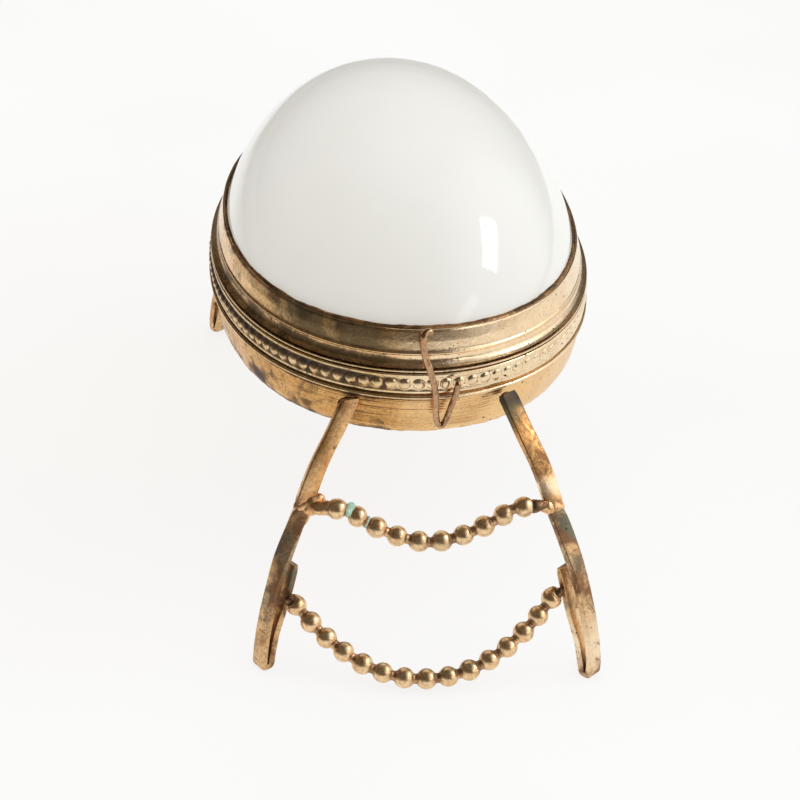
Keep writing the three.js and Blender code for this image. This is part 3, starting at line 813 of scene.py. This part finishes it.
def leg_start(leg):
    table = np.linspace(0, math.pi / 2, 2000)
    if leg["end"] > 0:
        table = math.pi - table
    index = int(np.argmin(np.abs(outline(table)[:, 0] - leg["attach"])))
    angle = table[index:index + 1]
    return (outline(angle) + outline_normal(angle) * ATTACH_OFFSET)[0]


def leg_point(leg, reach, level):
    start = leg.setdefault("start", leg_start(leg))
    yaw, out = math.radians(leg["yaw"]), reach * leg["reach"]
    return np.array([leg["side"] * (start[0] + out * math.sin(yaw)),
                     start[1] + leg["end"] * out * math.cos(yaw), PARTING + level])


def width_across(leg, yaw):
    yaw = math.radians(yaw)
    return np.array([leg["side"] * math.cos(yaw), -leg["end"] * math.sin(yaw), 0.0])


def catmull(points, steps):
    """Evenly spaced points on a smooth line through the given ones."""
    points = np.asarray(points, float)
    padded = np.vstack([2 * points[0] - points[1], points, 2 * points[-1] - points[-2]])
    fine = []
    for i in range(len(points) - 1):
        a, b, c, d = padded[i:i + 4]
        square, cube = 2 * a - 5 * b + 4 * c - d, 3 * b - a - 3 * c + d
        for t in np.linspace(0, 1, 24, endpoint=False):
            fine.append(0.5 * ((2 * b) + (c - a) * t + square * t ** 2 + cube * t ** 3))
    fine = np.array(fine + [points[-1]])
    length = lengths_along(fine)
    at = np.linspace(0, length[-1], steps + 1)
    return np.stack([np.interp(at, length, fine[:, k]) for k in range(3)], -1)


def strip(name, node, line, across_at, start_stock, end_stock, material, grime_and_shade,
          floor=None):
    """Flat stock with eased edges, swept along a line; across_at turns its width as it goes."""
    corner, per_corner = 0.3, 4
    profile = []
    for sx, sy, first in ((1, 1, 0), (-1, 1, 90), (-1, -1, 180), (1, -1, 270)):
        for k in range(per_corner):
            turn = math.radians(first + 90 * k / (per_corner - 1))
            profile.append((sx, sy, corner * math.cos(turn), corner * math.sin(turn)))
    rings = []
    last = len(line) - 1
    for i, point in enumerate(line):
        along = unit(line[min(last, i + 1)] - line[max(0, i - 1)])
        across = across_at(i / last)
        thick = unit(np.cross(along, across))
        taper = min(1.0, (i / last) / SCROLL_TAPER_SHARE)
        width = start_stock[0] + (end_stock[0] - start_stock[0]) * taper
        depth = start_stock[1] + (end_stock[1] - start_stock[1]) * taper
        closing = min(i, last - i)
        ease = (0.86, 0.96)[closing] if closing < 2 else 1.0
        ring = []
        for sx, sy, cx, cy in profile:
            w = (sx * (width / 2 - corner) + cx) * ease
            t = (sy * (depth / 2 - corner) + cy) * ease
            ring.append(point + across * w + thick * t)
        rings.append(ring)
    verts = np.array(rings).reshape(-1, 3)
    verts += (mid_waves(verts) * 0.05 + fast_waves(verts) * 0.02)[:, None] * 0.7
    if floor is not None:
        verts[:, 2] = np.maximum(verts[:, 2], floor)
    count = len(profile)
    faces = [list(f) for f in grid_faces(len(rings), count)]
    faces.append(list(range(count))[::-1])
    faces.append([(len(rings) - 1) * count + k for k in range(count)])
    share = np.repeat(np.arange(len(rings)) / last, count)
    darkening, greening, rubbed_and_highlit = grime_and_shade(share, verts)
    obj = make_object(name, verts, outward(verts, faces), "base", material, 50.0,
                      {"grime_and_shade": np.clip(darkening, 0, 1), "tarnish_and_shade": np.clip(greening, 0, 1),
                       "polish_and_highlight": np.clip(rubbed_and_highlit, 0, 1)})
    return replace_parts(obj, node)


def scroll_line(leg):
    front = catmull([leg_point(leg, *at) for at in SCROLL_FRONT], 44)[:-1]
    turn = []
    for angle in np.radians(np.linspace(0, -180, 13)):
        reach = FOOT_TURN["reach"] + FOOT_TURN["radius"] / leg["reach"] * math.cos(angle)
        level = FOOT_TURN["level"] + FOOT_TURN["radius"] * math.sin(angle)
        turn.append(leg_point(leg, reach, level))
    back = catmull([leg_point(leg, *at) for at in SCROLL_RETURN], 28)[1:]
    return np.vstack([front, turn, back])


def blob(name, centre, axes, size, material, lumps=0.22):
    """A lump of solder on the stand: an ellipsoid on three axes, made uneven."""
    frame_axes = np.array([unit(np.asarray(axis)) for axis in axes])
    steps, rings = 22, []
    for i in range(steps + 1):
        lift = math.pi * i / steps
        radius = math.sin(lift) if 0 < i < steps else 0.0
        ball = ring_round((0.0, 0.0, math.cos(lift)), radius, (1, 0, 0), (0, 1, 0), 34)
        world = (np.array(ball) * size) @ frame_axes + centre
        swell = 1 + lumps * (mid_waves(world * 2.1) * 0.75 + fast_waves(world) * 0.3)
        rings.append((world - centre) * swell[:, None] + centre)
    verts = np.vstack(rings)
    darkening = np.clip(0.08 + 0.4 * fast_waves(verts) + 0.4 * mid_waves(verts * 1.7), 0, 0.9)
    obj = rings_to_solid(name, rings, "base", material, 0, {"grime_and_shade": darkening})
    return obj


def bar_grime_and_highlight(leg):
    right = leg["side"] > 0

    def grime_and_shade(share, verts):
        top = np.clip(1.15 - share * 7, 0, 0.6) * (1.0 if right else 0.25)
        knee = np.clip(share * 6 - 5.2, 0, 0.5)
        greening = np.clip(1.2 - share * 1.7, 0, 1) * (0.42 if right else 0.2)
        # The right bar gets a painted highlight near the knee; the left bar gets uneven worn patches.
        rubbed_and_highlit = near(share, 0.84, 0.08) if right else 0.12 + 0.3 * mid_waves(verts + 5.0)
        darkening = top + knee * (0.4 if right else 0.8)
        darkening += (0.34 if right else 0.0) * np.clip(1.6 - share * 1.8, 0, 1)
        return darkening + 0.3 * mid_waves(verts), greening + 0.35 * mid_waves(verts + 3.0), rubbed_and_highlit
    return grime_and_shade


def scroll_grime_and_highlight(leg):
    def grime_and_shade(share, verts):
        high = np.clip((verts[:, 2] - 4.0) / 18.0, 0, 1)
        darkening = 0.04 + 0.14 * high + 0.42 * mid_waves(verts) + 0.2 * fast_waves(verts)
        # The right scroll gets a painted highlight low down.
        rubbed_and_highlit = near(verts[:, 2], 6.5, 5.0) * (1.0 if leg["side"] > 0 else 0.0)
        greening = 0.3 * high + 0.4 * mid_waves(verts * 1.4 + 7.0)
        return darkening, greening, rubbed_and_highlit * (1 + 0.5 * mid_waves(verts))
    return grime_and_shade


def twisting(leg, first_yaw, last_yaw, until):
    """The width's direction at each share of a strip that twists over its first part."""
    return lambda share: width_across(
        leg, first_yaw + (last_yaw - first_yaw) * min(1.0, share / until))


def make_leg(leg_name, leg):
    """An upper bar, a folded lower strip and the lumps of solder that hold them."""
    bar_line = catmull([leg_point(leg, *at) for at in BAR_LINE], 30)
    strip(f"bar_{leg_name}", f"leg_bar_{leg_name}", bar_line,
          twisting(leg, leg["top_yaw"], leg["knee_yaw"], 1.0),
          BAR_STOCK, BAR_STOCK, bar_brass, bar_grime_and_highlight(leg))
    strip(f"scroll_{leg_name}", f"leg_scroll_{leg_name}", scroll_line(leg),
          twisting(leg, leg["knee_yaw"], leg["yaw"], SCROLL_TWIST_SHARE),
          SCROLL_STOCK, SCROLL_END_STOCK, scroll_brass, scroll_grime_and_highlight(leg), 0.0)
    knee = leg_point(leg, 10.2, -22.1)
    across = width_across(leg, leg["knee_yaw"])
    down = leg_point(leg, 11.3, -24.6) - leg_point(leg, 8.6, -19.2)
    knee_axes = (across, np.cross(across, down), down)
    level_in = width_across(leg, leg["top_yaw"])
    face = np.cross(level_in, (0, 0, 1))
    face *= np.sign(face[1] * leg["end"])
    root = leg_point(leg, 0.75, -6.4) - face * 0.95
    blob(f"bar_root_{leg_name}", root, (level_in, (0, 0, 1), face), (1.3, 1.1, 0.75),
         dark_solder, 0.12)
    blob(f"knee_joint_{leg_name}", knee, knee_axes, (1.72, 0.84, 1.7), gold_solder, 0.1)
    if leg["side"] > 0:
        blob(f"knee_solder_{leg_name}", knee - across * 1.2, knee_axes,
             (1.5, 0.95, 1.35), gold_solder, 0.34)
    else:
        blob(f"knee_solder_{leg_name}", knee - across * 1.3 - np.array([0, 0, 0.1]), knee_axes,
             (2.3, 1.3, 2.1), gold_solder, 0.3)
        blob(f"knee_run_{leg_name}", knee - across * 1.25 + down * 0.42, knee_axes,
             (0.6, 0.8, 1.5), gold_solder, 0.3)


for leg_name, leg in LEGS.items():
    make_leg(leg_name, leg)

# ---- beaded swags ----
BEAD_RADIUS, BEAD_NECK, SWAG_END_GAP = 1.77, 0.9, 0.84
UPPER_SWAG = dict(right=(9.65, -21.15), left=(9.1, -22.0), beads=10, sag=5.95, power=1.7,
                  lean=8, stub=3.2, lead=(4.8, 0.5, -0.25))
LOWER_SWAG = dict(right=(13.75, -36.2), left=(15.05, -37.9), beads=15, sag=13.0, power=2.15,
                  lean=32.5, stub=1.6, lead=(0.95, 0.05, -0.9))


def swag_line(right, left, end, spec):
    """The rod's middle line: a lead from each leg and a bow that hangs between them."""
    clear = SCROLL_STOCK[0] / 2 + SWAG_END_GAP
    start = leg_point(right, *spec["right"]) - width_across(right, right["yaw"]) * clear
    finish = leg_point(left, *spec["left"]) - width_across(left, left["yaw"]) * clear
    lead = spec["lead"]
    first = start + np.array([-lead[0], end * lead[1], lead[2]])
    last = finish + np.array([lead[0], end * lead[1], lead[2]])
    lean = math.radians(spec["lean"])
    line = [start]
    for across in np.linspace(0, 1, 13):
        hang = spec["sag"] * (1 - abs(2 * across - 1) ** spec["power"])
        point = first + (last - first) * across
        line.append(point + np.array([0, end * hang * math.sin(lean), -hang * math.cos(lean)]))
    return catmull(line + [finish], 600)


def swag_stations(spec, total, pitch):
    """(place, radius, dirt) along the rod: round beads with narrow necks between them."""
    neck_turn = math.acos(BEAD_NECK / BEAD_RADIUS)
    stations = [(0.0, 0.0, 1.0), (0.02, BEAD_NECK * 0.8, 1.0), (0.2, BEAD_NECK * 1.05, 1.0)]
    for bead in range(spec["beads"]):
        centre = spec["stub"] + bead * pitch
        size = 1.0 + 0.02 * math.sin(bead * 2.4 + spec["beads"])
        for part in np.linspace(-1, 1, 15):
            turn = part * neck_turn
            stations.append((centre + BEAD_RADIUS * size * math.sin(turn),
                             BEAD_RADIUS * size * math.cos(turn), abs(part) ** 3))
        if bead + 1 < spec["beads"]:
            stations.append((centre + pitch / 2, BEAD_NECK * 0.94, 1.0))
    return stations + [(total - 0.2, BEAD_NECK * 1.05, 1.0),
                       (total - 0.02, BEAD_NECK * 0.8, 1.0), (total, 0.0, 1.0)]


def swag(name, node, end, spec):
    right, left = (leg for leg in LEGS.values() if leg["end"] == end)
    line = swag_line(right, left, end, spec)
    length = lengths_along(line)

    def on_line(at):
        return np.array([np.interp(at, length, line[:, k]) for k in range(3)])

    total = length[-1]
    pitch = (total - 2 * spec["stub"]) / (spec["beads"] - 1)
    rings, darkening = [], []
    for at, radius, mark in swag_stations(spec, total, pitch):
        along = unit(on_line(min(total, at + 0.2)) - on_line(max(0, at - 0.2)))
        side = unit(np.cross(along, (0, 1, 0)))
        rings.append(ring_round(on_line(at), radius, side, np.cross(side, along), 26))
        darkening.extend([mark] * len(rings[-1]))
    obj = rings_to_solid(name, rings, "base", bead_brass, 0, {"grime_and_shade": np.array(darkening) * 0.4})
    for label, tip, inner in (("right", line[0], line[8]), ("left", line[-1], line[-9])):
        gold = label == "left" and spec is UPPER_SWAG
        long, wide = (2.1, 1.3) if spec is UPPER_SWAG else (1.1, 1.0)
        wide *= 1.0 if gold else 0.85
        rod = inner - tip
        place = tip + unit(rod) * (long - 0.95)
        blob(f"{name}_solder_{label}", place, (rod, np.cross(rod, (0, 1, 0)), (0.1, 1, 0)),
             (long, wide, wide), gold_solder if gold else dark_solder, 0.25)
    if spec is UPPER_SWAG:
        for at, length_along, thickness in ((spec["beads"] - 1.55, 0.95, 1.25),
                                            (spec["beads"] - 2.5, 0.35, 0.95)):
            here = spec["stub"] + at * pitch
            centre, ahead = on_line(here), on_line(here + 0.3)
            blob(f"{name}_verdigris_{at:.0f}", centre,
                 (ahead - centre, np.cross(ahead - centre, (0, 1, 0)), (0.1, 1, 0)),
                 (length_along, thickness, thickness), verdigris, 0.45)
    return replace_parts(obj, node)


for end_name, end in (("front", -1), ("rear", 1)):
    swag(f"upper_beads_{end_name}", f"upper_swag_{end_name}", end, UPPER_SWAG)
    swag(f"lower_beads_{end_name}", f"lower_swag_{end_name}", end, LOWER_SWAG)

# ---- catch ----
WIRE_RADIUS = 0.54
CATCH_ROUTE = [(0.7, -51.85, 7.7), (0.0, -52.05, 7.95), (-0.6, -52.4, 7.75),
               (-0.8, -52.6, 7.0), (-0.5, -52.7, 4.0), (0.4, -52.9, 1.4),
               (1.2, -53.0, -1.4), (1.6, -53.0, -4.2), (1.75, -53.0, -7.4), (2.1, -53.0, -8.7),
               (2.8, -53.0, -8.9), (3.35, -53.0, -8.0), (4.0, -53.0, -5.9), (4.7, -53.0, -3.5),
               (5.2, -53.0, -0.9)]


def make_catch():
    line = catmull([(x, y, PARTING + level) for x, y, level in CATCH_ROUTE], 120)
    rings = []
    last = len(line) - 1
    side = np.array([0.0, 1.0, 0.0])
    for i, point in enumerate(line):
        along = unit(line[min(last, i + 1)] - line[max(0, i - 1)])
        side = unit(side - along * np.dot(side, along))
        closing = min(i, last - i)
        ease = (0.55, 0.88)[closing] if closing < 2 else 1
        radius = WIRE_RADIUS * (1 + 0.03 * math.sin(i * 0.7)) * ease
        rings.append(ring_round(point, radius, side, np.cross(along, side), 20))
    rings = [[line[0]]] + rings + [[line[-1]]]
    obj = rings_to_solid("wire_catch", rings, "catch", copper_wire, 0)
    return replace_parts(obj, "catch_wire")


make_catch()

# ---- floor and light ----
FLOOR_ALBEDO, FLOOR_GLOW, FLOOR_LEVEL = 0.16, 0.80, -0.02
ROOM_DARK = (0.10, 0.08, 0.059)
BACKDROP = (0.955, 0.955, 0.95)
PAPER_CENTRE, PAPER_RADIUS = (0.30, 0.10, 0.0), (0.43, 0.60)
PAINTED_SHADOW_CENTRE = (-0.062, 0.035, 0.0)
BOX_MIDDLE = Vector((0.0, 0.0, 0.06))


def make_floor():
    size, cells = 3000.0, 24
    line = np.linspace(-size, size, cells + 1)
    x, y = np.meshgrid(line, line)
    verts = np.stack([x, y, np.full_like(x, FLOOR_LEVEL)], -1).reshape(-1, 3) * MM
    faces = grid_faces(cells + 1, cells + 1, False, False)
    mesh = bpy.data.meshes.new("floor")
    mesh.from_pydata(verts.tolist(), [], faces.tolist())
    s = Shader("floor_paper")
    tone = s.ramp(s.noise(6.0, 2.0), [(0.3, (0.965, 0.965, 0.96)), (0.7, (1.0, 1.0, 0.995))])
    s.link(s.mix(1.0 - FLOOR_ALBEDO, tone, (0.0, 0.0, 0.0)), "Base Color")
    s.bsdf.inputs["Roughness"].default_value = 0.9
    s.bsdf.inputs["Specular IOR Level"].default_value = 0.0
    # The lit paper ends to the left, so metal that looks that way mirrors a dark room.
    away = s.maths("DISTANCE", s.coords, PAPER_CENTRE, "ShaderNodeVectorMath")
    beyond = s.ease(away, *PAPER_RADIUS)
    # A soft brownish painted shadow on the floor, to the left of the box.
    beside = s.maths("DISTANCE", s.coords, PAINTED_SHADOW_CENTRE, "ShaderNodeVectorMath")
    painted_shadow = s.ramp(beside, [(0.0, 0.75), (0.045, 0.55), (0.115, 0.0)])
    tone = s.mix(painted_shadow, tone, (0.965, 0.93, 0.90))
    glow = s.mix(s.times(beyond, s.mirror_ray()), tone, ROOM_DARK)
    s.link(glow, "Emission Color")
    s.bsdf.inputs["Emission Strength"].default_value = FLOOR_GLOW
    s.material.cycles.emission_sampling = "NONE"
    mesh.materials.append(s.material)
    floor = bpy.data.objects.new("floor", mesh)
    scene.collection.objects.link(floor)


make_floor()


def make_world():
    world = bpy.data.worlds.new("studio")
    scene.world = world
    world.use_nodes = True
    sky = Nodes(world.node_tree, "Generated")
    background = sky.tree.nodes["Background"]

    def lobe(toward, start, end):
        """1 in the middle of a patch of sky, easing to 0 at its edge; by cosine."""
        toward = Vector(toward).normalized()
        dot = sky.maths("DOT_PRODUCT", sky.coords, toward, "ShaderNodeVectorMath")
        ease = sky.node("ShaderNodeMapRange", Value=dot)
        ease.interpolation_type = "SMOOTHSTEP"
        ease.inputs[1].default_value = start
        ease.inputs[2].default_value = end
        return ease.outputs[0]

    soft = sky.mix(lobe((0.50, 0.42, 0.76), -0.75, 0.95), (0.47, 0.425, 0.35), (1.35, 1.355, 1.365))
    mirrored = sky.mix(lobe((0.9, -0.1, 0.35), 0.5, 1.0), ROOM_DARK, (1.3, 1.31, 1.33))
    seen = sky.tree.nodes.new("ShaderNodeLightPath").outputs["Is Camera Ray"]
    lit = sky.mix(sky.mirror_ray(), soft, mirrored)
    feed(sky.tree, background.inputs[0], sky.mix(seen, lit, BACKDROP))
    background.inputs[1].default_value = 1.0


make_world()


def window(name, top, bottom, width, power):
    """A bright window that only shiny surfaces show, between the middles of its short sides."""
    top, bottom = Vector(top), Vector(bottom)
    data = bpy.data.lights.new(name, "AREA")
    data.shape = "RECTANGLE"
    data.size, data.size_y = width, (top - bottom).length
    data.energy = power
    light = bpy.data.objects.new(name, data)
    middle = (top + bottom) / 2
    back = (middle - BOX_MIDDLE).normalized()
    up = (top - bottom).normalized()
    up = (up - back * up.dot(back)).normalized()
    place_object(light, up.cross(back), up, back, middle)
    light.visible_diffuse = False


window("window", (1.05, 0.16, 1.02), (1.18, -0.42, 0.78), 0.27, 3.9)
window("far_window", (1.02, -0.86, 0.63), (0.72, -1.22, 0.31), 0.2, 0.65)

scene.view_settings.view_transform = "Standard"
scene.view_settings.look = "None"
